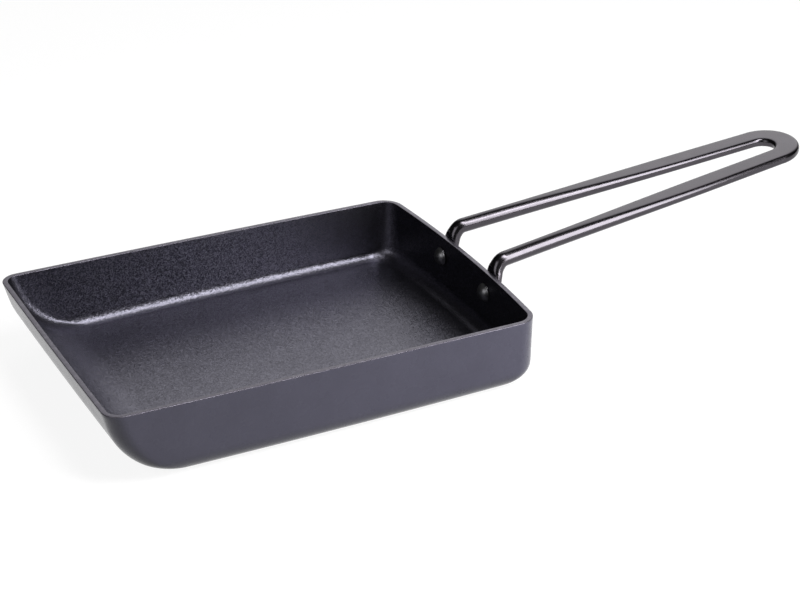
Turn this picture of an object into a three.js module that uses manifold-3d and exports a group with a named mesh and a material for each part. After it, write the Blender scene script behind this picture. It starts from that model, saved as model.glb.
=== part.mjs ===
// A small rectangular frying pan with a bent rod handle that is held by two rivets.
// Sizes are in millimetres. The origin is the middle of the flat underside, +X points along the handle
// and +Z points up. The front is the pouring end, opposite the handle.

import * as THREE from 'three';
import { mergeVertices } from 'three/addons/utils/BufferGeometryUtils.js';
import Module from 'manifold-3d';

const wasm = await Module();
wasm.setup();

// Pan body at its rim
const panLength = 180;
const panWidth = 130;
const frontRimHeight = 31.55;
const handleRimHeight = 29.15;
const wallThickness = 2.1;
const floorThickness = 2.6;
const rimEdgeRadius = 0.25;

// How the walls lean outwards, in degrees from upright
const frontLean = 15;
const handleSideLean = 0.5;
const longSideLean = 0.5;

// The curve where each wall meets the underside, and where it meets the floor inside
const frontBaseRadius = 31;
const handleSideBaseRadius = 10;
const longSideBaseRadius = 8;
const frontFloorRadius = 29;
const handleSideFloorRadius = 6;
const longSideFloorRadius = 4;

// Corners seen from above, at the rim, at the underside and at the floor inside
const frontCornerRadius = 7;
const handleCornerRadius = 8;
const frontBaseCornerRadius = 8.5;
const handleBaseCornerRadius = 9;
const frontFloorCornerRadius = 8.5;
const handleFloorCornerRadius = 10;

// How far the middle of each side bows out from a straight line
const frontBow = 0.4;
const handleSideBow = 3.3;
const longSideRimBow = 0.5;
const longSideBaseBow = 0.9;

// Handle rod and its loop
const rodDiameter = 6.3;
const handleRise = 5.83;
const kneeReach = 8.6;
const kneeHeight = 33;
const kneeHalfSpacing = 18.2;
const kneeBendRadius = 4.5;
const loopReach = 143.4;
const loopBendRadius = 10.45;
const loopWidth = 9.9;
const loopTipWidth = 11;
const loopThickness = 4;
const loopEdgeRadius = 1.6;
const flatteningStart = 12;
const flatteningEnd = 110;

// The legs below the knees, which lean back to the wall, and their flattened ends
const legLean = 36;
const shoulderReach = 1.2;
const shoulderBendRadius = 6;
const roundBelowKnee = 0.5;
const tabWidth = 9.2;
const tabThickness = 3;
const tabEdgeRadius = 0.9;
const tabEndMargin = 4.7;
const tabHeadMargin = 0.5;

// The rivets through the tabs and the handle-side wall
const rivetHalfSpacing = 19.1;
const rivetHeight = 20.2;
const rivetShankRadius = 2;
const innerHeadRadius = 4;
const innerHeadHeight = 2.8;
const outerHeadRadius = 3.3;
const outerHeadHeight = 1.5;
const rivetEdgeHeight = 0.3;

// Clearance between neighbouring pieces, and the overrun of a cutting tool
const fitGap = 0.3;
const cutOverrun = 5;

// How finely curves are divided
const cornerSteps = 6;
const longSideSteps = 12;
const shortSideSteps = 10;
const wallSteps = 12;
const edgeSteps = 3;
const sectionSteps = 16;
const bendSteps = 6;
const straightSteps = 14;
const loopSteps = 20;
const tabSteps = 5;
const roundSteps = 32;
const domeSteps = 5;

const rimHeight = (frontRimHeight + handleRimHeight) / 2;
const radians = THREE.MathUtils.degToRad;
const lerp = THREE.MathUtils.lerp;

// A closed mesh from rings of points, with a flat cap on the first and on the last ring
function loft(rings) {
  const count = rings[0].length;
  const positions = rings.flat().flatMap((point) => [point.x, point.y, point.z]);
  const indices = [];
  for (let ring = 0; ring + 1 < rings.length; ring += 1) {
    for (let step = 0; step < count; step += 1) {
      const here = ring * count + step;
      const next = ring * count + (step + 1) % count;
      indices.push(here, next, next + count);
      indices.push(here, next + count, here + count);
    }
  }
  const capCentre = (ring) => {
    const sum = ring.reduce((total, point) => total.add(point), new THREE.Vector3());
    const centre = sum.divideScalar(count);
    positions.push(centre.x, centre.y, centre.z);
    return positions.length / 3 - 1;
  };
  const first = capCentre(rings[0]);
  const last = capCentre(rings[rings.length - 1]);
  const lastRing = (rings.length - 1) * count;
  for (let step = 0; step < count; step += 1) {
    const next = (step + 1) % count;
    indices.push(first, next, step);
    indices.push(last, lastRing + step, lastRing + next);
  }
  const geometry = new THREE.BufferGeometry();
  geometry.setAttribute('position', new THREE.Float32BufferAttribute(positions, 3));
  geometry.setIndex(indices);
  return geometry;
}

function toSolid(geometry) {
  const bare = geometry.clone();
  bare.deleteAttribute('normal');
  bare.deleteAttribute('uv');
  const merged = mergeVertices(bare);
  return new wasm.Manifold(new wasm.Mesh({
    numProp: 3,
    vertProperties: new Float32Array(merged.attributes.position.array),
    triVerts: new Uint32Array(merged.index.array),
  }));
}

function toGeometry(solid) {
  const mesh = solid.getMesh();
  const geometry = new THREE.BufferGeometry();
  geometry.setAttribute('position', new THREE.BufferAttribute(mesh.vertProperties, 3));
  geometry.setIndex(new THREE.BufferAttribute(mesh.triVerts, 1));
  return geometry;
}

// The x position of the handle-side wall's outer face at a height and a distance from the middle line
function handleWallFace(height, across) {
  const level = outsideLevel(height);
  const share = across / level.side;
  return level.handle + handleSideBow * (1 - share * share);
}

// How far a wall stands in from its rim line: it leans straight, then curves round into the base
function wallInset(height, wallHeight, lean, radius) {
  const angle = radians(lean);
  const curveTop = radius * (1 - Math.sin(angle));
  if (height >= curveTop) {
    return (wallHeight - height) * Math.tan(angle);
  }
  const centre = (wallHeight - radius) * Math.tan(angle) + radius / Math.cos(angle);
  const below = radius - height;
  return centre - Math.sqrt(radius * radius - below * below);
}

// One level of the pan's outside, where its walls stand at a height above the underside
function outsideLevel(height) {
  const share = height / rimHeight;
  return {
    height,
    share,
    front: -panLength / 2 + wallInset(height, rimHeight, frontLean, frontBaseRadius),
    handle: panLength / 2 - wallInset(height, rimHeight, handleSideLean, handleSideBaseRadius),
    side: panWidth / 2 - wallInset(height, rimHeight, longSideLean, longSideBaseRadius),
    frontCorner: lerp(frontBaseCornerRadius, frontCornerRadius, share),
    handleCorner: lerp(handleBaseCornerRadius, handleCornerRadius, share),
  };
}

// One level of the pan's inside, at a height above the floor
function insideLevel(height) {
  const depth = rimHeight - floorThickness;
  const share = height / depth;
  const inset = (lean, radius) => (
    wallThickness / Math.cos(radians(lean)) + wallInset(height, depth, lean, radius));
  return {
    height: floorThickness + height,
    share,
    front: -panLength / 2 + inset(frontLean, frontFloorRadius),
    handle: panLength / 2 - inset(handleSideLean, handleSideFloorRadius),
    side: panWidth / 2 - inset(longSideLean, longSideFloorRadius),
    frontCorner: lerp(frontFloorCornerRadius, frontCornerRadius - wallThickness, share),
    handleCorner: lerp(handleFloorCornerRadius, handleCornerRadius - wallThickness, share),
  };
}

// A level moved up and drawn in all round, for the rounded edges of the rim
function shiftedLevel(level, up, inward) {
  return {
    ...level,
    height: level.height + up,
    front: level.front + inward,
    handle: level.handle - inward,
    side: level.side - inward,
    frontCorner: level.frontCorner - inward,
    handleCorner: level.handleCorner - inward,
  };
}

// The points of one level: a rectangle with round corners and bowed sides, on the gently falling rim slope
function levelRing(level) {
  const quarter = Math.PI / 2;
  const corners = [
    { x: level.handle, y: level.side, radius: level.handleCorner, start: 0, steps: longSideSteps },
    { x: level.front, y: level.side, radius: level.frontCorner, start: quarter, steps: shortSideSteps },
    { x: level.front, y: -level.side, radius: level.frontCorner, start: Math.PI, steps: longSideSteps },
    { x: level.handle, y: -level.side, radius: level.handleCorner, start: -quarter, steps: shortSideSteps },
  ];
  const arcs = corners.map(({ x, y, radius, start }) => {
    const centreX = x - Math.sign(x) * radius;
    const centreY = y - Math.sign(y) * radius;
    return Array.from({ length: cornerSteps + 1 }, (unused, step) => {
      const angle = start + quarter * (step / cornerSteps);
      return new THREE.Vector2(centreX + radius * Math.cos(angle), centreY + radius * Math.sin(angle));
    });
  });
  const outline = arcs.flatMap((arc, index) => {
    const sideStart = arc[cornerSteps];
    const sideEnd = arcs[(index + 1) % arcs.length][0];
    const steps = corners[index].steps;
    const side = Array.from({ length: steps - 1 }, (unused, step) => (
      sideStart.clone().lerp(sideEnd, (step + 1) / steps)));
    return [...arc, ...side];
  });
  const middle = (level.front + level.handle) / 2;
  const halfLength = (level.handle - level.front) / 2;
  const sideBow = lerp(longSideBaseBow, longSideRimBow, level.share);
  return outline.map((point) => {
    const along = (point.x - middle) / halfLength;
    const across = point.y / level.side;
    const endBow = along > 0 ? handleSideBow : frontBow;
    const x = point.x + endBow * along * (1 - across * across);
    const y = point.y + sideBow * across * (1 - along * along);
    const fall = (handleRimHeight - frontRimHeight) * (x / panLength) * level.share;
    return new THREE.Vector3(x, y, level.height + fall);
  });
}

// Levels lie close together near the base, where the walls curve most
function levelHeights(depth) {
  const straight = depth - rimEdgeRadius;
  return Array.from({ length: wallSteps + 1 }, (unused, step) => straight * (step / wallSteps) ** 2);
}

// The rounded edge of the rim, from its start on a wall up to the flat land
function rimEdge(level, direction) {
  return Array.from({ length: edgeSteps }, (unused, step) => {
    const angle = (Math.PI / 2) * ((step + 1) / edgeSteps);
    const up = rimEdgeRadius * Math.sin(angle);
    return shiftedLevel(level, up, direction * rimEdgeRadius * (1 - Math.cos(angle)));
  });
}

function panShell() {
  const outside = levelHeights(rimHeight).map(outsideLevel);
  const inside = levelHeights(rimHeight - floorThickness).map(insideLevel);
  const outerEdge = rimEdge(outside[wallSteps], 1);
  const innerEdge = rimEdge(inside[wallSteps], -1).reverse();
  const levels = [...outside, ...outerEdge, ...innerEdge, ...inside.reverse()];
  return loft(levels.map(levelRing));
}

// The middle plane of the flattened tabs, which clears the bowed wall at each tab's inner edge
const tabPlane = handleWallFace(rivetHeight, rivetHalfSpacing - tabWidth / 2) + fitGap + tabThickness / 2;

// The height up to which the tabs stay flat, above the rivets' outer heads
const tabTop = rivetHeight + outerHeadRadius + tabHeadMargin;

// A cutting cylinder for a rivet's shank, along X
function shankCutter(side) {
  const length = wallThickness + tabThickness + 2 * cutOverrun;
  const cutter = new THREE.CylinderGeometry(
    rivetShankRadius + fitGap, rivetShankRadius + fitGap, length, roundSteps);
  cutter.rotateZ(Math.PI / 2);
  cutter.translate(tabPlane - (wallThickness + fitGap) / 2, side * rivetHalfSpacing, rivetHeight);
  return toSolid(cutter);
}

function withRivetHoles(geometry) {
  return toGeometry(toSolid(geometry).subtract(shankCutter(1)).subtract(shankCutter(-1)));
}

function panBody() {
  return withRivetHoles(panShell());
}

// An arc of points that rounds the corner between two straight runs
function cornerArc(before, corner, after, radius, steps) {
  const inward = before.clone().sub(corner).normalize();
  const outward = after.clone().sub(corner).normalize();
  const halfAngle = inward.angleTo(outward) / 2;
  const reach = radius / Math.tan(halfAngle);
  const bisector = inward.clone().add(outward).normalize();
  const centre = corner.clone().addScaledVector(bisector, radius / Math.sin(halfAngle));
  const start = corner.clone().addScaledVector(inward, reach).sub(centre);
  const end = corner.clone().addScaledVector(outward, reach).sub(centre);
  const sweep = start.angleTo(end);
  return Array.from({ length: steps + 1 }, (unused, step) => {
    const turn = sweep * (step / steps);
    const fromStart = start.clone().multiplyScalar(Math.sin(sweep - turn) / Math.sin(sweep));
    const fromEnd = end.clone().multiplyScalar(Math.sin(turn) / Math.sin(sweep));
    return centre.clone().add(fromStart).add(fromEnd);
  });
}

// A point of the handle's sloping plane, along from the knees and across from the middle line
function handlePoint(along, across) {
  const rise = radians(handleRise);
  return new THREE.Vector3(
    panLength / 2 + kneeReach + along * Math.cos(rise), across, kneeHeight + along * Math.sin(rise));
}

// The centre line of the leg on the right-hand side, from the tab's end up to the loop
function legPath() {
  const knee = handlePoint(0, kneeHalfSpacing);
  const shoulderX = tabPlane + shoulderReach;
  const drop = (knee.x - shoulderX) / Math.tan(radians(legLean));
  const splay = (rivetHalfSpacing - kneeHalfSpacing) / (kneeHeight - rivetHeight);
  const legPoint = (x, height) => (
    new THREE.Vector3(x, kneeHalfSpacing + (kneeHeight - height) * splay, height));
  const tabEnd = legPoint(tabPlane, rivetHeight - tabEndMargin);
  const tabHead = legPoint(tabPlane, tabTop);
  const shoulder = legPoint(shoulderX, kneeHeight - drop);
  const toLoop = Math.hypot(loopReach, kneeHalfSpacing);
  const tangentAngle = Math.asin(loopBendRadius / toLoop) - Math.atan2(kneeHalfSpacing, loopReach);
  const tangent = handlePoint(
    loopReach - loopBendRadius * Math.sin(tangentAngle), loopBendRadius * Math.cos(tangentAngle));
  const roundEnd = Array.from({ length: tabSteps }, (unused, step) => {
    const angle = (Math.PI / 2) * ((step + 1) / (tabSteps + 1));
    return legPoint(tabPlane, tabEnd.z + (tabWidth / 2) * (1 - Math.cos(angle)));
  });
  const tabBend = cornerArc(tabEnd, tabHead, shoulder, shoulderBendRadius, bendSteps);
  const shoulderBend = cornerArc(tabHead, shoulder, knee, shoulderBendRadius, bendSteps);
  const kneeBend = cornerArc(shoulder, knee, tangent, kneeBendRadius, bendSteps);
  const run = Array.from({ length: straightSteps }, (unused, step) => (
    kneeBend[bendSteps].clone().lerp(tangent, (step + 1) / straightSteps)));
  return { points: [...roundEnd, ...tabBend, ...shoulderBend, ...kneeBend, ...run], tangentAngle };
}

// The round end of the loop, from the right-hand leg to the left-hand one
function loopPath(tangentAngle) {
  const start = Math.PI / 2 + tangentAngle;
  return Array.from({ length: loopSteps - 1 }, (unused, step) => {
    const angle = start - 2 * start * ((step + 1) / loopSteps);
    return handlePoint(loopReach + loopBendRadius * Math.cos(angle), loopBendRadius * Math.sin(angle));
  });
}

// The rod's width, thickness and edge radius at a point of its centre line
function rodSection(point) {
  const along = (point.x - panLength / 2 - kneeReach) / Math.cos(radians(handleRise));
  const flat = THREE.MathUtils.smoothstep(along, flatteningStart, flatteningEnd);
  const tip = THREE.MathUtils.clamp((along - loopReach) / loopBendRadius, 0, 1);
  const tabShare = 1 - THREE.MathUtils.smoothstep(point.z, tabTop, kneeHeight - roundBelowKnee);
  const width = lerp(lerp(rodDiameter, lerp(loopWidth, loopTipWidth, tip), flat), tabWidth, tabShare);
  const thickness = lerp(lerp(rodDiameter, loopThickness, flat), tabThickness, tabShare);
  const edgeRadius = lerp(lerp(rodDiameter / 2, loopEdgeRadius, flat), tabEdgeRadius, tabShare);
  return { width, thickness, edgeRadius: Math.min(edgeRadius, thickness / 2) };
}

// One ring of the rod: a rounded section that stands square to its centre line
function rodRing(centre, tangent, section, tipShare) {
  const rise = radians(handleRise);
  const outward = centre.clone().sub(handlePoint(0, 0));
  const inLoop = outward.x * Math.cos(rise) + outward.z * Math.sin(rise) > loopReach;
  const planeNormal = new THREE.Vector3(-Math.sin(rise), 0, Math.cos(rise));
  const sideways = new THREE.Vector3(0, Math.sign(centre.y), 0).addScaledVector(
    tangent, -tangent.y * Math.sign(centre.y));
  const wide = (inLoop ? planeNormal.cross(tangent) : sideways).normalize();
  const thick = tangent.clone().cross(wide);
  const cornerAcross = section.width / 2 - section.edgeRadius;
  const cornerUp = section.thickness / 2 - section.edgeRadius;
  return Array.from({ length: sectionSteps }, (unused, step) => {
    const angle = 2 * Math.PI * ((step + 0.5) / sectionSteps);
    const cosine = Math.cos(angle);
    const sine = Math.sin(angle);
    const across = tipShare * (Math.sign(cosine) * cornerAcross + section.edgeRadius * cosine);
    const up = Math.sign(sine) * cornerUp + section.edgeRadius * sine;
    return centre.clone().addScaledVector(wide, across).addScaledVector(thick, up);
  });
}

function handleRod() {
  const leg = legPath();
  const mirrored = leg.points.map((point) => new THREE.Vector3(point.x, -point.y, point.z)).reverse();
  const path = [...leg.points, ...loopPath(leg.tangentAngle), ...mirrored];
  const last = path.length - 1;
  const rings = path.map((point, index) => {
    const before = path[Math.max(index - 1, 0)];
    const after = path[Math.min(index + 1, last)];
    const tangent = after.clone().sub(before).normalize();
    const fromEnd = Math.min(index, last - index);
    const tipAngle = (Math.PI / 2) * ((fromEnd + 1) / (tabSteps + 1));
    const tipShare = fromEnd < tabSteps ? Math.sin(tipAngle) : 1;
    return rodRing(point, tangent, rodSection(point), tipShare);
  });
  return withRivetHoles(loft(rings));
}

// The outline of a domed head from its rim to its crown, seen from the side
function domeProfile(radius, height, base, direction) {
  const rise = height - rivetEdgeHeight;
  const sphere = (radius * radius + rise * rise) / (2 * rise);
  const halfAngle = Math.asin(radius / sphere);
  const dome = Array.from({ length: domeSteps + 1 }, (unused, step) => {
    const angle = halfAngle * (1 - step / domeSteps);
    const up = sphere * Math.cos(angle) - (sphere - rise);
    return new THREE.Vector2(sphere * Math.sin(angle), base + direction * (rivetEdgeHeight + up));
  });
  return [new THREE.Vector2(radius, base), ...dome];
}

// A rivet along X, with a domed head inside the pan and a flatter formed head outside the tab
function rivet() {
  const outerSeat = tabPlane + tabThickness / 2 + fitGap;
  const innerSeat = handleWallFace(rivetHeight, rivetHalfSpacing + innerHeadRadius) - wallThickness - fitGap;
  const inner = domeProfile(innerHeadRadius, innerHeadHeight, innerSeat, -1);
  const outer = domeProfile(outerHeadRadius, outerHeadHeight, outerSeat, 1);
  const profile = [
    ...inner.reverse(),
    new THREE.Vector2(rivetShankRadius, innerSeat),
    new THREE.Vector2(rivetShankRadius, outerSeat),
    ...outer,
  ];
  const geometry = new THREE.LatheGeometry(profile, roundSteps);
  geometry.rotateZ(-Math.PI / 2);
  return geometry;
}

function part(name, geometry, colour, roughness, metalness) {
  const material = new THREE.MeshStandardMaterial({ color: colour, roughness, metalness, flatShading: true });
  const mesh = new THREE.Mesh(geometry, material);
  mesh.name = name;
  return mesh;
}

const pan = new THREE.Group();
pan.add(part('pan_body', panBody(), '#4c4b53', 0.45, 0.3));
pan.add(part('handle', handleRod(), '#5f5a60', 0.3, 0.6));
for (const [name, side] of [['rivet_right', 1], ['rivet_left', -1]]) {
  const mesh = part(name, rivet(), '#45454b', 0.35, 0.6);
  mesh.position.set(0, side * rivetHalfSpacing, rivetHeight);
  pan.add(mesh);
}

export default pan;
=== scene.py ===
import math
from dataclasses import dataclass, replace

import bpy
import numpy as np
from mathutils import Matrix, Vector


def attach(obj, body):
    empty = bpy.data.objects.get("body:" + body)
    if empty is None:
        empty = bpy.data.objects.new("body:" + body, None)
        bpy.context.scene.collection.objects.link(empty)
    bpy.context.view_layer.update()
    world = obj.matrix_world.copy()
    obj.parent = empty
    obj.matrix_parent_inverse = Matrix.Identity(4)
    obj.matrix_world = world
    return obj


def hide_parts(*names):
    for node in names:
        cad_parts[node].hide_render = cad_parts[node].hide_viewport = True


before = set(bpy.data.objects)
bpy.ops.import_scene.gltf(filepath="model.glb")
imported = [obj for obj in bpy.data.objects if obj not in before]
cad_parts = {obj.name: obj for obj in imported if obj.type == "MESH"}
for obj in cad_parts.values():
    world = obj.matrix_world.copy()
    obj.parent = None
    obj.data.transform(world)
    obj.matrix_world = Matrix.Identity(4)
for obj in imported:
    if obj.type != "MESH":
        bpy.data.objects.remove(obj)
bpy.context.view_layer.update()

# A small rectangular frying pan with a bent rod handle, dressed for a studio picture.
# Sizes are in millimetres up to the point where a mesh or an object is made.
MM = 0.001


@dataclass(frozen=True)
class Relief:
    """A fine relief: its waves in a metre, their detail, their depth in metres and how strongly it shows."""

    waves: float
    detail: int
    depth: float
    strength: float


@dataclass(frozen=True)
class Level:
    """One level of the pan's outside or inside: where its four walls stand at a height."""

    height: float
    share: float
    front: float
    handle: float
    side: float
    front_corner: float
    handle_corner: float


# Pan body at its rim
PAN_LENGTH = 180
PAN_WIDTH = 130
FRONT_RIM_HEIGHT = 31.55
HANDLE_RIM_HEIGHT = 29.15
RIM_HEIGHT = (FRONT_RIM_HEIGHT + HANDLE_RIM_HEIGHT) / 2
WALL_THICKNESS = 2.1
FLOOR_THICKNESS = 2.6
RIM_EDGE_RADIUS = 0.25

# How the walls lean outwards, in degrees from upright
FRONT_LEAN = 15
HANDLE_SIDE_LEAN = 0.5
LONG_SIDE_LEAN = 0.5

# The curve where each wall meets the underside, and where it meets the floor inside
FRONT_BASE_RADIUS = 31
HANDLE_SIDE_BASE_RADIUS = 10
LONG_SIDE_BASE_RADIUS = 8
FRONT_FLOOR_RADIUS = 29
HANDLE_SIDE_FLOOR_RADIUS = 6
LONG_SIDE_FLOOR_RADIUS = 4

# Corners seen from above, at the rim, at the underside and at the floor inside
FRONT_CORNER_RADIUS = 7
HANDLE_CORNER_RADIUS = 8
FRONT_BASE_CORNER_RADIUS = 8.5
HANDLE_BASE_CORNER_RADIUS = 9
FRONT_FLOOR_CORNER_RADIUS = 8.5
HANDLE_FLOOR_CORNER_RADIUS = 10

# How far the middle of each side bows out from a straight line
FRONT_BOW = 0.4
HANDLE_SIDE_BOW = 3.3
LONG_SIDE_RIM_BOW = 0.5
LONG_SIDE_BASE_BOW = 0.9

# Handle rod and its loop, with its rise in degrees
ROD_DIAMETER = 6.3
HANDLE_RISE = 5.83
KNEE_REACH = 8.6
KNEE_HEIGHT = 33
KNEE_HALF_SPACING = 18.2
KNEE_BEND_RADIUS = 4.5
LOOP_REACH = 143.4
LOOP_BEND_RADIUS = 10.45
LOOP_WIDTH = 9.9
LOOP_TIP_WIDTH = 11
LOOP_THICKNESS = 4
LOOP_EDGE_RADIUS = 1.6
FLATTENING_START = 12
FLATTENING_END = 110

# The legs below the knees, which lean back to the wall by some degrees, and their flattened ends
LEG_LEAN = 36
SHOULDER_REACH = 1.2
SHOULDER_BEND_RADIUS = 6
ROUND_BELOW_KNEE = 0.5
TAB_WIDTH = 9.2
TAB_THICKNESS = 3
TAB_EDGE_RADIUS = 0.9
TAB_END_MARGIN = 4.7
TAB_HEAD_MARGIN = 0.5

# The rivets through the tabs and the handle-side wall
RIVET_HALF_SPACING = 19.1
RIVET_HEIGHT = 20.2
RIVET_SHANK_RADIUS = 2
INNER_HEAD_RADIUS = 4
INNER_HEAD_HEIGHT = 2.8
OUTER_HEAD_RADIUS = 3.3
OUTER_HEAD_HEIGHT = 1.5
RIVET_EDGE_HEIGHT = 0.35
RIVET_EDGE_DRAW_IN_SHARE = 0.5
RIVET_EDGE_TOP_SHARE = 0.8
FIT_GAP = 0.3

# The pan's materials, in the order of its slots
OUTSIDE_SLOT, INSIDE_SLOT, RIM_SLOT = range(3)

# How finely curves are divided
CORNER_STEPS = 14
LONG_SIDE_STEPS = 72
SHORT_SIDE_STEPS = 48
WALL_STEPS = 44
EDGE_STEPS = 6
FLOOR_SHARES = (0.92, 0.75, 0.5, 0.25, 0.08)
SECTION_STEPS = 48
OUTLINE_STEPS = 90
BEND_STEPS = 14
STRAIGHT_STEPS = 110
LOOP_STEPS = 72
TAB_STEPS = 8
ROUND_STEPS = 72
DOME_STEPS = 18
HEAD_EDGE_STEPS = 5

# The camera stands where the photograph's stood, turned by these degrees
LENS = 96.70
SENSOR_WIDTH = 36
CAMERA_PLACE = (-295.79, -709.65, 425.61)
CAMERA_YAW = 26.70
CAMERA_PITCH = 27.341
CAMERA_ROLL = -0.292

# How coats drift between two values: the band of noise that is spread over them, and the noise's detail
SHADE_BAND = (0.35, 0.65)
ROUGHNESS_BAND = (0.3, 0.7)
SHADE_DETAIL = 4
ROUGHNESS_DETAIL = 3

# The paint outside, with its grain and orange peel. Patches, grains and waves are counted in a metre.
PAINT_SHADES = ((0.048, 0.046, 0.070), (0.054, 0.052, 0.078))
PAINT_PATCHES = 60
PAINT_ROUGHNESS = (0.25, 0.3)
PAINT_ROUGHNESS_PATCHES = 150
PAINT_GRAIN = Relief(waves=2600, detail=3, depth=0.00004, strength=0.4)
PAINT_PEEL = Relief(waves=420, detail=2, depth=0.0001, strength=0.12)

# The coating inside, made of grains of about 0.4 mm that each have their own shade and tilt
INSIDE_SHADES = ((0.068, 0.066, 0.082), (0.120, 0.117, 0.143))
INSIDE_GRAINS = 2500
INSIDE_TILT_SHARE = 0.1
INSIDE_ROUGHNESS = (0.31, 0.36)
INSIDE_ROUGHNESS_PATCHES = 70
INSIDE_GRAIN = Relief(waves=3000, detail=3, depth=0.00005, strength=0.4)

# The rim's coating, and its lighter shade where it is worn
RIM_SHADES = ((0.082, 0.076, 0.094), (0.118, 0.111, 0.132))
RIM_WORN_PATCHES = 420
RIM_WORN_DETAIL = 5
RIM_WORN_FINENESS = 0.65
RIM_WORN_BAND = (0.5, 0.68)
RIM_ROUGHNESS = (0.24, 0.34)
RIM_ROUGHNESS_PATCHES = 600
RIM_GRAIN = Relief(waves=1800, detail=3, depth=0.00004, strength=0.3)

# The handle's coating
HANDLE_SHADES = ((0.071, 0.0658, 0.0742), (0.0785, 0.0728, 0.082))
HANDLE_PATCHES = 90
HANDLE_ROUGHNESS = (0.2, 0.24)
HANDLE_ROUGHNESS_PATCHES = 300
HANDLE_GRAIN = Relief(waves=2400, detail=3, depth=0.000006, strength=0.3)

# The coating on the rivet heads
RIVET_SHADES = ((0.15, 0.15, 0.158), (0.19, 0.19, 0.198))
RIVET_PATCHES = 500
RIVET_ROUGHNESS = (0.3, 0.4)
RIVET_ROUGHNESS_PATCHES = 1200
RIVET_GRAIN = Relief(waves=1800, detail=3, depth=0.0001, strength=0.3)

# Floor, in metres: its lit grey keeps a faint shadow of the pan, and its glow brings the rest up to white
FLOOR_SHADE = 0.15
FLOOR_GLOW = 0.89
FLOOR_ROUGHNESS = 0.9
FLOOR_HALF_SIZE = 4
FLOOR_DROP = 0.0002

# Room: its light comes from around one direction, and fades between two cosines of the angle from there
ROOM_BRIGHT_DIRECTION = (0.5, 0.7, 0.5)
ROOM_FADE_COSINES = (0.8, 1.0)
ROOM_LIGHT = (0.03, 1.58)
BACKGROUND_LIGHT = 1

# Lamps: place and aim in metres, width and height in metres, power in watts
SOFTBOXES = {
    "front_softbox": ((0.18, -0.38, 0.82), (0, 0, 0.02), (0.22, 0.62), 6.8),
    "side_softbox": ((0.28, -0.29, 0.19), (0.1, 0, 0.03), (0.18, 0.34), 2.15),
    "left_softbox": ((-0.6, -0.33, 0.4), (0.05, 0, 0.02), (0.5, 0.5), 1.5),
    "back_softbox": ((0.98, 0.69, 0.75), (0, 0, 0.02), (1.2, 0.9), 0.8),
}


def lerp(start, end, share):
    return start + (end - start) * share


def smooth_step(value, low, high):
    share = min(max((value - low) / (high - low), 0), 1)
    return share * share * (3 - 2 * share)


def wall_inset(height, wall_height, lean, radius):
    """How far a wall stands in from its rim line: it leans straight, then curves round into the base."""
    angle = math.radians(lean)
    if height >= radius * (1 - math.sin(angle)):
        return (wall_height - height) * math.tan(angle)
    centre = (wall_height - radius) * math.tan(angle) + radius / math.cos(angle)
    return centre - math.sqrt(radius**2 - (radius - height) ** 2)


def outside_level(height):
    share = height / RIM_HEIGHT
    return Level(
        height=height,
        share=share,
        front=-PAN_LENGTH / 2 + wall_inset(height, RIM_HEIGHT, FRONT_LEAN, FRONT_BASE_RADIUS),
        handle=PAN_LENGTH / 2 - wall_inset(height, RIM_HEIGHT, HANDLE_SIDE_LEAN, HANDLE_SIDE_BASE_RADIUS),
        side=PAN_WIDTH / 2 - wall_inset(height, RIM_HEIGHT, LONG_SIDE_LEAN, LONG_SIDE_BASE_RADIUS),
        front_corner=lerp(FRONT_BASE_CORNER_RADIUS, FRONT_CORNER_RADIUS, share),
        handle_corner=lerp(HANDLE_BASE_CORNER_RADIUS, HANDLE_CORNER_RADIUS, share),
    )


def inside_level(height):
    depth = RIM_HEIGHT - FLOOR_THICKNESS
    share = height / depth

    def inset(lean, radius):
        return WALL_THICKNESS / math.cos(math.radians(lean)) + wall_inset(height, depth, lean, radius)

    return Level(
        height=FLOOR_THICKNESS + height,
        share=share,
        front=-PAN_LENGTH / 2 + inset(FRONT_LEAN, FRONT_FLOOR_RADIUS),
        handle=PAN_LENGTH / 2 - inset(HANDLE_SIDE_LEAN, HANDLE_SIDE_FLOOR_RADIUS),
        side=PAN_WIDTH / 2 - inset(LONG_SIDE_LEAN, LONG_SIDE_FLOOR_RADIUS),
        front_corner=lerp(FRONT_FLOOR_CORNER_RADIUS, FRONT_CORNER_RADIUS - WALL_THICKNESS, share),
        handle_corner=lerp(HANDLE_FLOOR_CORNER_RADIUS, HANDLE_CORNER_RADIUS - WALL_THICKNESS, share),
    )


def shifted(level, up, inward):
    """A level moved up and drawn in all round, for the rounded edges of the rim."""
    return replace(
        level,
        height=level.height + up,
        front=level.front + inward,
        handle=level.handle - inward,
        side=level.side - inward,
        front_corner=level.front_corner - inward,
        handle_corner=level.handle_corner - inward,
    )


def corner_points(x, y, radius, start):
    centre = np.array([x - math.copysign(radius, x), y - math.copysign(radius, y)])
    angles = start + np.linspace(0, math.pi / 2, CORNER_STEPS + 1)
    return centre + radius * np.stack([np.cos(angles), np.sin(angles)], axis=1)


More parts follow.
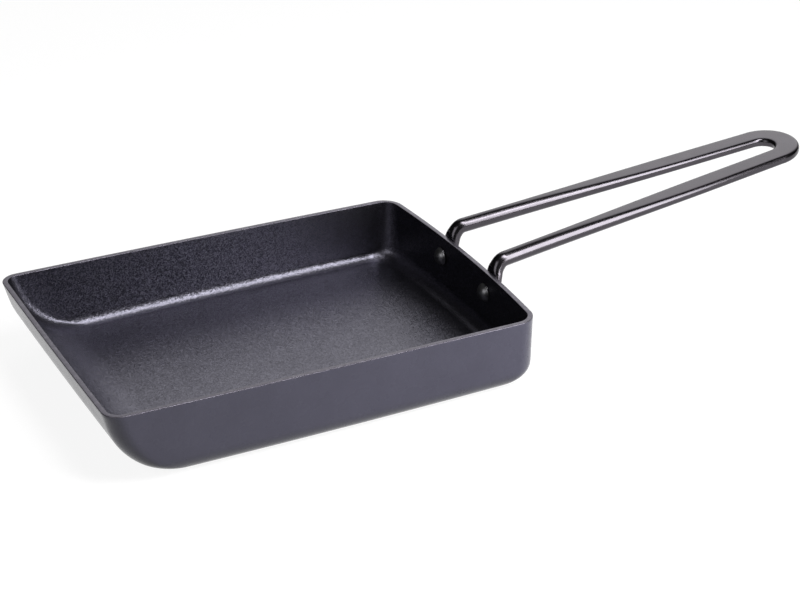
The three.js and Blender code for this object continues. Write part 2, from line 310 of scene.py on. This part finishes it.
def level_ring(level):
    """The points of one level: a rectangle with round corners and bowed sides, on the falling rim slope."""
    arcs = [
        corner_points(level.handle, level.side, level.handle_corner, 0),
        corner_points(level.front, level.side, level.front_corner, math.pi / 2),
        corner_points(level.front, -level.side, level.front_corner, math.pi),
        corner_points(level.handle, -level.side, level.handle_corner, -math.pi / 2),
    ]
    outline = []
    for index, arc in enumerate(arcs):
        steps = SHORT_SIDE_STEPS if index % 2 else LONG_SIDE_STEPS
        following = arcs[(index + 1) % len(arcs)][0]
        shares = np.arange(1, steps)[:, None] / steps
        outline += [arc, arc[-1] + (following - arc[-1]) * shares]
    flat = np.concatenate(outline)
    along = (flat[:, 0] - (level.front + level.handle) / 2) / ((level.handle - level.front) / 2)
    across = flat[:, 1] / level.side
    end_bow = np.where(along > 0, HANDLE_SIDE_BOW, FRONT_BOW)
    side_bow = lerp(LONG_SIDE_BASE_BOW, LONG_SIDE_RIM_BOW, level.share)
    x = flat[:, 0] + end_bow * along * (1 - across**2)
    y = flat[:, 1] + side_bow * across * (1 - along**2)
    fall = (HANDLE_RIM_HEIGHT - FRONT_RIM_HEIGHT) * (x / PAN_LENGTH) * level.share
    return np.stack([x, y, level.height + fall], axis=1)


def level_heights(depth):
    """Levels lie close together near the base, where the walls curve most."""
    return (depth - RIM_EDGE_RADIUS) * np.linspace(0, 1, WALL_STEPS + 1) ** 2


def rim_edge(level, direction):
    """The rounded edge of the rim, from its start on a wall up to the flat land."""
    angles = np.linspace(0, math.pi / 2, EDGE_STEPS + 1)[1:]
    return [
        shifted(level, RIM_EDGE_RADIUS * math.sin(angle), direction * RIM_EDGE_RADIUS * (1 - math.cos(angle)))
        for angle in angles
    ]


def floor_rings(ring):
    """Rings that close a flat floor towards its middle."""
    middle = ring.mean(axis=0)
    return [middle + (ring - middle) * share for share in FLOOR_SHARES]


def ring_mesh(name, rings, slots=None):
    """A closed mesh through rings of points, with a fan on the first and on the last ring."""
    count = len(rings[0])
    middles = [rings[0].mean(axis=0), rings[-1].mean(axis=0)]
    points = np.concatenate([*rings, middles])
    first, last = len(points) - 2, len(points) - 1
    steps = np.arange(count)
    nexts = (steps + 1) % count
    faces = []
    for ring in range(len(rings) - 1):
        low, high = ring * count, (ring + 1) * count
        faces += np.stack([low + steps, low + nexts, high + nexts, high + steps], axis=1).tolist()
    top = (len(rings) - 1) * count
    faces += [[first, int(n), int(s)] for s, n in zip(steps, nexts)]
    faces += [[last, int(top + s), int(top + n)] for s, n in zip(steps, nexts)]
    mesh = bpy.data.meshes.new(name)
    mesh.from_pydata((points * MM).tolist(), [], faces)
    if slots is not None:
        face_slots = np.repeat(slots, count).tolist() + [slots[0]] * count + [slots[-1]] * count
        mesh.polygons.foreach_set("material_index", face_slots)
    mesh.validate()
    mesh.shade_smooth()
    mesh.update()
    piece = bpy.data.objects.new(name, mesh)
    bpy.context.scene.collection.objects.link(piece)
    return piece


def make_pan():
    """The pan in one closed skin, from its underside's middle round the rim to the middle of its floor."""
    outside = [outside_level(height) for height in level_heights(RIM_HEIGHT)]
    inside = [inside_level(height) for height in level_heights(RIM_HEIGHT - FLOOR_THICKNESS)]
    outer_edge = rim_edge(outside[-1], 1)
    inner_edge = rim_edge(inside[-1], -1)[::-1]
    walls = [level_ring(level) for level in [*outside, *outer_edge, *inner_edge, *inside[::-1]]]
    rings = [*floor_rings(walls[0])[::-1], *walls, *floor_rings(walls[-1])]
    outer_count = len(FLOOR_SHARES) + len(outside) - 1
    rim_count = len(outer_edge) + len(inner_edge) + 1
    inner_count = len(rings) - 1 - outer_count - rim_count
    slots = [OUTSIDE_SLOT] * outer_count + [RIM_SLOT] * rim_count + [INSIDE_SLOT] * inner_count
    return ring_mesh("pan", rings, slots)


def handle_wall_face(height, across):
    """The x position of the handle-side wall's outer face at a height and a distance from the middle line."""
    level = outside_level(height)
    return level.handle + HANDLE_SIDE_BOW * (1 - (across / level.side) ** 2)


# The x position of the tabs' middle plane, and the height up to which they are flat
TAB_PLANE = handle_wall_face(RIVET_HEIGHT, RIVET_HALF_SPACING - TAB_WIDTH / 2) + FIT_GAP + TAB_THICKNESS / 2
TAB_TOP = RIVET_HEIGHT + OUTER_HEAD_RADIUS + TAB_HEAD_MARGIN


def corner_arc(before, corner, after, radius):
    """An arc of points that rounds the corner between two straight runs."""
    inward = (before - corner).normalized()
    outward = (after - corner).normalized()
    half_angle = inward.angle(outward) / 2
    reach = radius / math.tan(half_angle)
    centre = corner + (inward + outward).normalized() * (radius / math.sin(half_angle))
    start = corner + inward * reach - centre
    end = corner + outward * reach - centre
    sweep = start.angle(end)
    turns = np.linspace(0, sweep, BEND_STEPS + 1)
    return [
        centre + start * (math.sin(sweep - turn) / math.sin(sweep)) + end * (math.sin(turn) / math.sin(sweep))
        for turn in turns
    ]


def handle_point(along, across):
    """A point of the handle's sloping plane, along from the knees and across from the middle line."""
    rise = math.radians(HANDLE_RISE)
    x = PAN_LENGTH / 2 + KNEE_REACH + along * math.cos(rise)
    return Vector((x, across, KNEE_HEIGHT + along * math.sin(rise)))


def leg_point(x, height):
    splay = (RIVET_HALF_SPACING - KNEE_HALF_SPACING) / (KNEE_HEIGHT - RIVET_HEIGHT)
    return Vector((x, KNEE_HALF_SPACING + (KNEE_HEIGHT - height) * splay, height))


def leg_path():
    """The centre line of the leg on the right-hand side, from the tab's end up to the loop."""
    knee = handle_point(0, KNEE_HALF_SPACING)
    shoulder_x = TAB_PLANE + SHOULDER_REACH
    drop = (knee.x - shoulder_x) / math.tan(math.radians(LEG_LEAN))
    tab_end = leg_point(TAB_PLANE, RIVET_HEIGHT - TAB_END_MARGIN)
    tab_head = leg_point(TAB_PLANE, TAB_TOP)
    shoulder = leg_point(shoulder_x, KNEE_HEIGHT - drop)
    to_loop = math.hypot(LOOP_REACH, KNEE_HALF_SPACING)
    tangent_angle = math.asin(LOOP_BEND_RADIUS / to_loop) - math.atan2(KNEE_HALF_SPACING, LOOP_REACH)
    tangent = handle_point(
        LOOP_REACH - LOOP_BEND_RADIUS * math.sin(tangent_angle), LOOP_BEND_RADIUS * math.cos(tangent_angle)
    )
    end_angles = (math.pi / 2) * np.arange(1, TAB_STEPS + 1) / (TAB_STEPS + 1)
    round_end = [
        leg_point(TAB_PLANE, tab_end.z + TAB_WIDTH / 2 * (1 - math.cos(angle))) for angle in end_angles
    ]
    tab_bend = corner_arc(tab_end, tab_head, shoulder, SHOULDER_BEND_RADIUS)
    shoulder_bend = corner_arc(tab_head, shoulder, knee, SHOULDER_BEND_RADIUS)
    knee_bend = corner_arc(shoulder, knee, tangent, KNEE_BEND_RADIUS)
    run = [knee_bend[-1].lerp(tangent, step / STRAIGHT_STEPS) for step in range(1, STRAIGHT_STEPS + 1)]
    return [*round_end, *tab_bend, *shoulder_bend, *knee_bend, *run], tangent_angle


def loop_path(tangent_angle):
    """The round end of the loop, from the right-hand leg to the left-hand one."""
    start = math.pi / 2 + tangent_angle
    angles = [start - 2 * start * step / LOOP_STEPS for step in range(1, LOOP_STEPS)]
    return [
        handle_point(LOOP_REACH + LOOP_BEND_RADIUS * math.cos(angle), LOOP_BEND_RADIUS * math.sin(angle))
        for angle in angles
    ]


def rod_size(point):
    """The rod's width, thickness and edge radius at a point of its centre line."""
    along = (point.x - PAN_LENGTH / 2 - KNEE_REACH) / math.cos(math.radians(HANDLE_RISE))
    flat = smooth_step(along, FLATTENING_START, FLATTENING_END)
    tip = min(max((along - LOOP_REACH) / LOOP_BEND_RADIUS, 0), 1)
    tab = 1 - smooth_step(point.z, TAB_TOP, KNEE_HEIGHT - ROUND_BELOW_KNEE)
    width = lerp(lerp(ROD_DIAMETER, lerp(LOOP_WIDTH, LOOP_TIP_WIDTH, tip), flat), TAB_WIDTH, tab)
    thickness = lerp(lerp(ROD_DIAMETER, LOOP_THICKNESS, flat), TAB_THICKNESS, tab)
    edge = lerp(lerp(ROD_DIAMETER / 2, LOOP_EDGE_RADIUS, flat), TAB_EDGE_RADIUS, tab)
    return width, thickness, min(edge, thickness / 2)


def rod_outline(width, thickness, radius):
    """A rounded rectangle's points, spread evenly over its turn and its length together."""
    angles = np.concatenate([
        np.linspace(quarter * math.pi / 2, (quarter + 1) * math.pi / 2, OUTLINE_STEPS) for quarter in range(4)
    ])
    signs_x = np.repeat([1, -1, -1, 1], OUTLINE_STEPS)
    signs_y = np.repeat([1, 1, -1, -1], OUTLINE_STEPS)
    x = signs_x * (width / 2 - radius) + radius * np.cos(angles)
    y = signs_y * (thickness / 2 - radius) + radius * np.sin(angles)
    x, y, angles = np.append(x, x[0]), np.append(y, y[0]), np.append(angles, 2 * math.pi)
    lengths = np.concatenate([[0], np.cumsum(np.hypot(np.diff(x), np.diff(y)))])
    progress = angles / angles[-1] + lengths / lengths[-1]
    targets = progress[-1] * (np.arange(SECTION_STEPS) + 0.5) / SECTION_STEPS
    return np.interp(targets, progress, x), np.interp(targets, progress, y)


def rod_ring(centre, tangent, tip_share):
    """One ring of the rod: a rounded section that stands square to its centre line."""
    rise = math.radians(HANDLE_RISE)
    outward = centre - handle_point(0, 0)
    in_loop = outward.x * math.cos(rise) + outward.z * math.sin(rise) > LOOP_REACH
    plane_normal = Vector((-math.sin(rise), 0, math.cos(rise)))
    side = math.copysign(1, centre.y)
    sideways = Vector((0, side, 0)) - tangent * (tangent.y * side)
    wide = (plane_normal.cross(tangent) if in_loop else sideways).normalized()
    thick = tangent.cross(wide)
    across, up = rod_outline(*rod_size(centre))
    return np.array(centre) + np.outer(across * tip_share, wide) + np.outer(up, thick)


def make_handle():
    right_leg, tangent_angle = leg_path()
    left_leg = [Vector((point.x, -point.y, point.z)) for point in reversed(right_leg)]
    path = [*right_leg, *loop_path(tangent_angle), *left_leg]
    last = len(path) - 1
    rings = []
    for index, point in enumerate(path):
        tangent = (path[min(index + 1, last)] - path[max(index - 1, 0)]).normalized()
        from_end = min(index, last - index)
        tip_share = math.sin(math.pi / 2 * min((from_end + 1) / (TAB_STEPS + 1), 1))
        rings.append(rod_ring(point, tangent, tip_share))
    return ring_mesh("rod_handle", rings)


def dome_profile(radius, height, seat, direction):
    """Radius and x of a domed head, from its seat up a short edge that draws in, and on to its crown."""
    edge = RIVET_EDGE_HEIGHT
    draw_in = edge * RIVET_EDGE_DRAW_IN_SHARE
    dome_radius = radius - draw_in
    rise = height - edge
    sphere = (dome_radius**2 + rise**2) / (2 * rise)
    half_angle = math.asin(dome_radius / sphere)
    side = [
        (radius - draw_in * share**2, seat + direction * edge * share)
        for share in np.linspace(0, RIVET_EDGE_TOP_SHARE, HEAD_EDGE_STEPS)
    ]
    dome = [
        (sphere * math.sin(angle), seat + direction * (edge + sphere * math.cos(angle) - sphere + rise))
        for angle in np.linspace(half_angle, half_angle / DOME_STEPS, DOME_STEPS)
    ]
    return [*side, *dome]


def make_rivet(name, side):
    """A rivet along X, with a domed head inside the pan and a flatter formed head outside the tab."""
    outer_seat = TAB_PLANE + TAB_THICKNESS / 2 + FIT_GAP
    wall = handle_wall_face(RIVET_HEIGHT, RIVET_HALF_SPACING + INNER_HEAD_RADIUS) - WALL_THICKNESS
    inner_seat = wall - FIT_GAP
    inner = dome_profile(INNER_HEAD_RADIUS, INNER_HEAD_HEIGHT, inner_seat, -1)
    outer = dome_profile(OUTER_HEAD_RADIUS, OUTER_HEAD_HEIGHT, outer_seat, 1)
    shank = [(RIVET_SHANK_RADIUS, inner_seat), (RIVET_SHANK_RADIUS, outer_seat)]
    angles = np.linspace(0, 2 * math.pi, ROUND_STEPS, endpoint=False)
    rings = []
    for radius, x in [*inner[::-1], *shank, *outer]:
        y = side * RIVET_HALF_SPACING + radius * np.cos(angles)
        z = RIVET_HEIGHT + radius * np.sin(angles)
        rings.append(np.stack([np.full_like(y, x), y, z], axis=1))
    return ring_mesh(name, rings)


class Shader:
    """A small helper that adds and links the nodes of one material."""

    def __init__(self, name):
        self.material = bpy.data.materials.new(name)
        self.material.use_nodes = True
        self.tree = self.material.node_tree
        self.surface = self.tree.nodes["Principled BSDF"]
        self.output = self.tree.nodes["Material Output"]
        self.place = self.node("ShaderNodeTexCoord").outputs["Object"]

    def node(self, kind, **settings):
        made = self.tree.nodes.new(kind)
        for key, value in settings.items():
            setattr(made, key, value)
        return made

    def link(self, source, target):
        self.tree.links.new(source, target)

    def set(self, **values):
        for name, value in values.items():
            self.surface.inputs[name.replace("_", " ")].default_value = value

    def feed(self, name, source):
        """Links a source to an input of the surface."""
        self.link(source, self.surface.inputs[name])

    def noise(self, scale, detail, fineness=0.5):
        """Soft noise: a higher fineness gives its small waves more weight."""
        made = self.node("ShaderNodeTexNoise")
        made.inputs["Scale"].default_value = scale
        made.inputs["Detail"].default_value = detail
        made.inputs["Roughness"].default_value = fineness
        self.link(self.place, made.inputs["Vector"])
        return made.outputs["Fac"]

    def cell_colour(self, scale):
        """A random colour for each cell."""
        made = self.node("ShaderNodeTexVoronoi")
        made.inputs["Scale"].default_value = scale
        self.link(self.place, made.inputs["Vector"])
        return made.outputs["Color"]

    def part(self, vector, axis):
        made = self.node("ShaderNodeSeparateXYZ")
        self.link(vector, made.inputs[0])
        return made.outputs[axis]

    def vector(self, operation, first, second):
        made = self.node("ShaderNodeVectorMath", operation=operation)
        self.link(first, made.inputs[0])
        if operation == "SCALE":
            made.inputs["Scale"].default_value = second
        elif isinstance(second, tuple):
            made.inputs[1].default_value = second
        else:
            self.link(second, made.inputs[1])
        return made.outputs["Vector"]

    def tilted(self, colour, share):
        """The normal, which in each cell leans along each axis by up to a share of its length, at random."""
        middle = (0.5, 0.5, 0.5)
        lean = self.vector("SCALE", self.vector("SUBTRACT", colour, middle), 2 * share)
        normal = self.node("ShaderNodeNewGeometry").outputs["Normal"]
        made = self.node("ShaderNodeVectorMath", operation="NORMALIZE")
        self.link(self.vector("ADD", normal, lean), made.inputs[0])
        return made.outputs["Vector"]

    def tint(self, patches, shades):
        """Colour that drifts between two shades in soft patches, so many in a metre."""
        self.shade(self.spread(self.noise(patches, SHADE_DETAIL), SHADE_BAND), shades)

    def gloss(self, patches, roughness):
        """Roughness that drifts between two values in patches, so many in a metre."""
        drift = self.noise(patches, ROUGHNESS_DETAIL)
        self.feed("Roughness", self.spread(drift, ROUGHNESS_BAND, roughness))

    def spread(self, value, source=(0, 1), target=(0, 1)):
        """A value spread from one band over another, and held at its ends."""
        made = self.node("ShaderNodeMapRange")
        self.link(value, made.inputs["Value"])
        made.inputs["From Min"].default_value, made.inputs["From Max"].default_value = source
        made.inputs["To Min"].default_value, made.inputs["To Max"].default_value = target
        return made.outputs["Result"]

    def shade(self, share, shades):
        """Colour that goes from one shade to another by a share."""
        made = self.node("ShaderNodeMix", data_type="RGBA")
        self.link(share, made.inputs["Factor"])
        for name, colour in zip("AB", shades):
            made.inputs[name].default_value = (*colour, 1)
        self.feed("Base Color", made.outputs["Result"])

    def bump(self, relief, normal=None):
        """The surface's normal with a relief, which can stand on another one."""
        made = self.node("ShaderNodeBump")
        made.inputs["Distance"].default_value = relief.depth
        made.inputs["Strength"].default_value = relief.strength
        self.link(self.noise(relief.waves, relief.detail), made.inputs["Height"])
        if normal is not None:
            self.link(normal, made.inputs["Normal"])
        return made.outputs["Normal"]


def outside_coat():
    """Satin paint under a thin clear coat: dark blue-grey, with a faint mottle and a fine orange peel."""
    shader = Shader("pan_coat_outside")
    shader.tint(PAINT_PATCHES, PAINT_SHADES)
    shader.gloss(PAINT_ROUGHNESS_PATCHES, PAINT_ROUGHNESS)
    shader.feed("Normal", shader.bump(PAINT_PEEL, shader.bump(PAINT_GRAIN)))
    shader.set(Metallic=0, Specular_IOR_Level=0.2, Coat_Weight=0.35, Coat_Roughness=0.2)
    return shader.material


def inside_coat():
    """Dark metallic non-stick coating: fine grains, each tilted its own way, sparkle in the light."""
    shader = Shader("pan_coat_inside")
    grain_colour = shader.cell_colour(INSIDE_GRAINS)
    shader.shade(shader.part(grain_colour, "X"), INSIDE_SHADES)
    shader.gloss(INSIDE_ROUGHNESS_PATCHES, INSIDE_ROUGHNESS)
    shader.feed("Normal", shader.bump(INSIDE_GRAIN, shader.tilted(grain_colour, INSIDE_TILT_SHARE)))
    shader.set(Metallic=1)
    return shader.material


def rim_coat():
    """The rim's coating, worn a little lighter in fine patches along the edge."""
    shader = Shader("pan_coat_rim")
    wear = shader.noise(RIM_WORN_PATCHES, RIM_WORN_DETAIL, RIM_WORN_FINENESS)
    shader.shade(shader.spread(wear, RIM_WORN_BAND), RIM_SHADES)
    shader.gloss(RIM_ROUGHNESS_PATCHES, RIM_ROUGHNESS)
    shader.feed("Normal", shader.bump(RIM_GRAIN))
    shader.set(Metallic=0.95)
    return shader.material


def handle_coat():
    """Warm grey satin metallic coating on the rod, with a fine grain."""
    shader = Shader("handle_coat")
    shader.tint(HANDLE_PATCHES, HANDLE_SHADES)
    shader.gloss(HANDLE_ROUGHNESS_PATCHES, HANDLE_ROUGHNESS)
    shader.feed("Normal", shader.bump(HANDLE_GRAIN))
    shader.set(Metallic=1)
    return shader.material


def rivet_coat():
    """Dark coated rivet heads, a little uneven where the coating pooled."""
    shader = Shader("rivet_coat")
    shader.tint(RIVET_PATCHES, RIVET_SHADES)
    shader.gloss(RIVET_ROUGHNESS_PATCHES, RIVET_ROUGHNESS)
    shader.feed("Normal", shader.bump(RIVET_GRAIN))
    shader.set(Metallic=1)
    return shader.material


def floor_material():
    """Floor whose lit colour keeps the pan's shadow, and whose glow takes what is seen of it up to white."""
    shader = Shader("studio_floor")
    grey = (FLOOR_SHADE, FLOOR_SHADE, FLOOR_SHADE, 1)
    shader.set(Base_Color=grey, Roughness=FLOOR_ROUGHNESS, Specular_IOR_Level=0)
    glow = shader.node("ShaderNodeEmission")
    shader.link(shader.spread(seen_ray(shader.tree), target=(0, FLOOR_GLOW)), glow.inputs["Strength"])
    both = shader.node("ShaderNodeAddShader")
    shader.link(shader.surface.outputs["BSDF"], both.inputs[0])
    shader.link(glow.outputs["Emission"], both.inputs[1])
    shader.link(both.outputs["Shader"], shader.output.inputs["Surface"])
    return shader.material


def seen_ray(tree, kinds=("Is Camera Ray", "Is Glossy Ray", "Is Transmission Ray")):
    """One for rays of the given kinds, and nothing for the others."""
    path = tree.nodes.new("ShaderNodeLightPath")
    seen = path.outputs[kinds[0]]
    for kind in kinds[1:]:
        most = tree.nodes.new("ShaderNodeMath")
        most.operation = "MAXIMUM"
        tree.links.new(seen, most.inputs[0])
        tree.links.new(path.outputs[kind], most.inputs[1])
        seen = most.outputs[0]
    return seen


def make_floor():
    mesh = bpy.data.meshes.new("studio_floor")
    half = FLOOR_HALF_SIZE
    corners = [(-half, -half, 0), (half, -half, 0), (half, half, 0), (-half, half, 0)]
    mesh.from_pydata(corners, [], [(0, 1, 2, 3)])
    mesh.materials.append(floor_material())
    floor = bpy.data.objects.new("studio_floor", mesh)
    floor.location.z = -FLOOR_DROP
    bpy.context.scene.collection.objects.link(floor)


def make_room():
    """The room's light comes from behind the pan, a little to the right, and its background is white."""
    world = bpy.data.worlds.new("studio_room")
    world.use_nodes = True
    tree = world.node_tree
    background = tree.nodes["Background"]
    direction = tree.nodes.new("ShaderNodeTexCoord")
    along = tree.nodes.new("ShaderNodeVectorMath")
    along.operation = "DOT_PRODUCT"
    tree.links.new(direction.outputs["Generated"], along.inputs[0])
    along.inputs[1].default_value = Vector(ROOM_BRIGHT_DIRECTION).normalized()
    light = tree.nodes.new("ShaderNodeMapRange")
    light.interpolation_type = "SMOOTHSTEP"
    tree.links.new(along.outputs["Value"], light.inputs["Value"])
    light.inputs["From Min"].default_value, light.inputs["From Max"].default_value = ROOM_FADE_COSINES
    light.inputs["To Min"].default_value, light.inputs["To Max"].default_value = ROOM_LIGHT
    strength = tree.nodes.new("ShaderNodeMix")
    tree.links.new(seen_ray(tree, ("Is Camera Ray", "Is Transmission Ray")), strength.inputs["Factor"])
    tree.links.new(light.outputs["Result"], strength.inputs["A"])
    strength.inputs["B"].default_value = BACKGROUND_LIGHT
    tree.links.new(strength.outputs["Result"], background.inputs["Strength"])
    background.inputs["Color"].default_value = (1, 1, 1, 1)
    bpy.context.scene.world = world


def add_softbox(name, place, target, size, power):
    """A white rectangular lamp at a place, in metres, that faces a target."""
    lamp = bpy.data.lights.new(name, "AREA")
    lamp.shape = "RECTANGLE"
    lamp.size, lamp.size_y = size
    lamp.energy = power
    softbox = bpy.data.objects.new(name, lamp)
    softbox.location = place
    aim = Vector(target) - Vector(place)
    softbox.rotation_euler = aim.to_track_quat("-Z", "Y").to_euler()
    bpy.context.scene.collection.objects.link(softbox)


def make_camera():
    """The camera stands at the photograph's place, turn, tilt and roll."""
    yaw, pitch, roll = (math.radians(angle) for angle in (CAMERA_YAW, CAMERA_PITCH, CAMERA_ROLL))
    level_right = Vector((math.cos(yaw), -math.sin(yaw), 0))
    forward = Vector((math.sin(yaw) * math.cos(pitch), math.cos(yaw) * math.cos(pitch), -math.sin(pitch)))
    level_down = forward.cross(level_right)
    right = level_right * math.cos(roll) - level_down * math.sin(roll)
    down = level_right * math.sin(roll) + level_down * math.cos(roll)
    lens = bpy.data.cameras.new("camera")
    lens.lens = LENS
    lens.sensor_width = SENSOR_WIDTH
    camera = bpy.data.objects.new("camera", lens)
    turn = Matrix((right, -down, -forward)).transposed().to_4x4()
    camera.matrix_world = Matrix.Translation(Vector(CAMERA_PLACE) * MM) @ turn
    bpy.context.scene.collection.objects.link(camera)
    bpy.context.scene.camera = camera


def dress(piece, nodes, materials):
    """Gives a piece its materials, and lets it ride on the frame in place of its CAD nodes."""
    for material in materials:
        piece.data.materials.append(material)
    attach(piece, "root")
    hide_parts(*nodes)


make_camera()
dress(make_pan(), ["pan_body"], [outside_coat(), inside_coat(), rim_coat()])
dress(make_handle(), ["handle"], [handle_coat()])
rivet_material = rivet_coat()
for node, side in (("rivet_right", 1), ("rivet_left", -1)):
    dress(make_rivet(node + "_dome", side), [node], [rivet_material])

make_floor()
make_room()
for softbox_name, softbox_values in SOFTBOXES.items():
    add_softbox(softbox_name, *softbox_values)

scene = bpy.context.scene
scene.view_settings.view_transform = "Standard"
